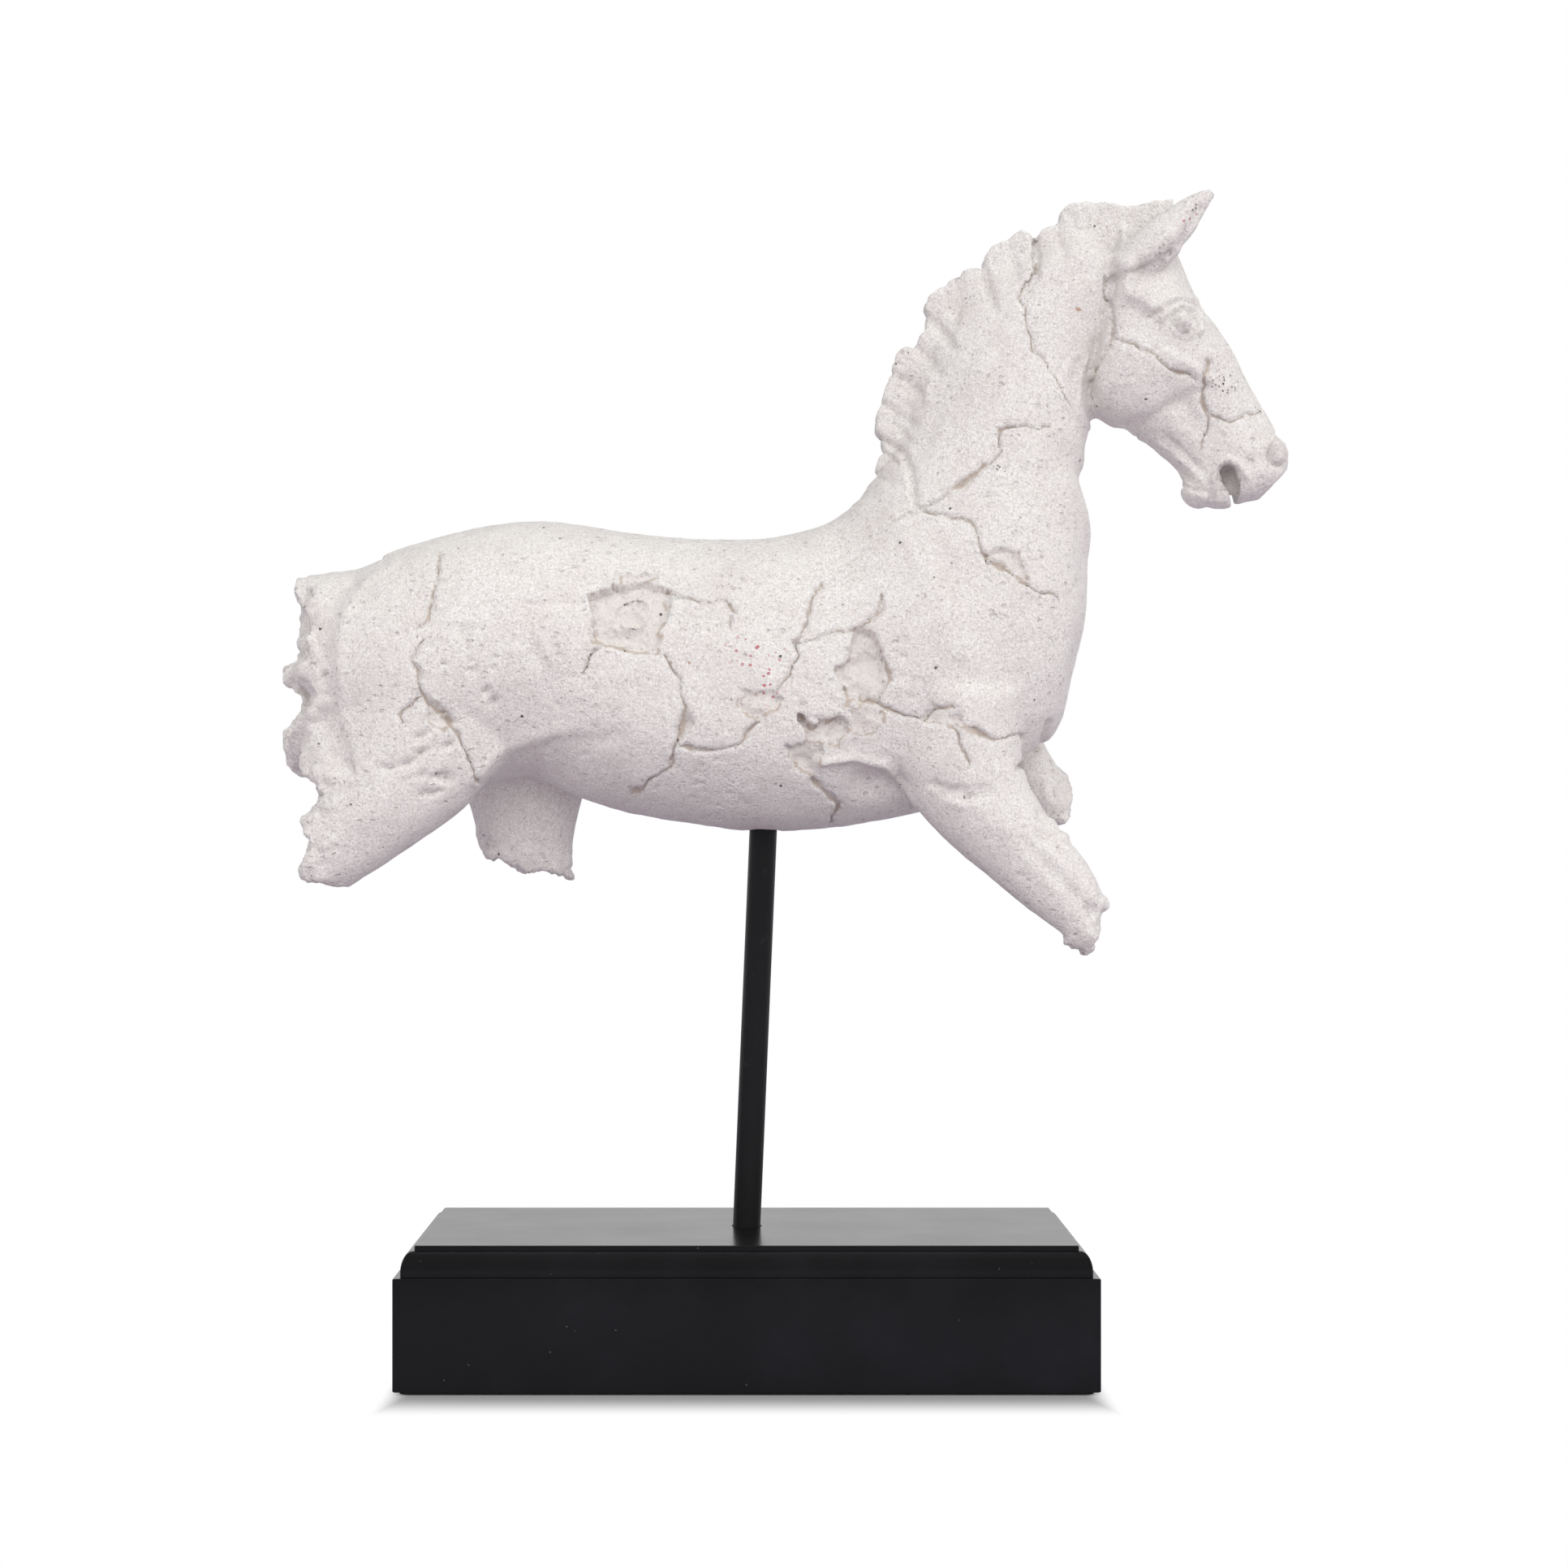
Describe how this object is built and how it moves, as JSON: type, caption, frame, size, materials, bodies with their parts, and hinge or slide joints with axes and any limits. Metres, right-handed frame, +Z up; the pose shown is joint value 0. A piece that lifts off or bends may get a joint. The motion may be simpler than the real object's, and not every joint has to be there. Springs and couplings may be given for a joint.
{
  "type": "horse torso ornament on a stand",
  "caption": "Antique-fragment style horse torso in off-white stone-effect resin, held on a leaning black rod above a black moulded plinth.",
  "frame": {"origin": "centre of the plinth's resting underside", "axes": "+X towards the head along the plinth, +Y to the far side, +Z up"},
  "size_m": [0.3617, 0.112, 0.422],
  "materials": {
    "stone_resin": "grainy off-white cast resin with cracks and chipped patches",
    "sleeve_steel": "plain drawn tube",
    "rod_black": "satin black paint",
    "fixing_steel": "zinc plated",
    "plinth_lacquer": "satin black lacquer on board",
    "raw_wood": "unfinished board",
    "pad_rubber": "matt black foam rubber sheet"
  },
  "bodies": {
    "stand": {"rod": "rod_black", "rod_washer": "fixing_steel", "rod_nut": "fixing_steel", "plinth_top": "plinth_lacquer", "plinth_front": "plinth_lacquer", "plinth_back": "plinth_lacquer", "plinth_left": "plinth_lacquer", "plinth_right": "plinth_lacquer", "rod_block": "raw_wood", "plinth_bottom": "raw_wood", "bottom_screws": "fixing_steel", "base_pad": "pad_rubber"},
    "horse": {"horse_casting": "stone_resin", "socket_sleeve": "sleeve_steel"}
  },
  "joints": [
    {"name": "horse_swivel", "type": "hinge", "parent": "stand", "child": "horse", "pos_m": [0, 0, 0.0504], "axis": [0.0419, 0, 0.9991], "continuous": true}
  ]
}
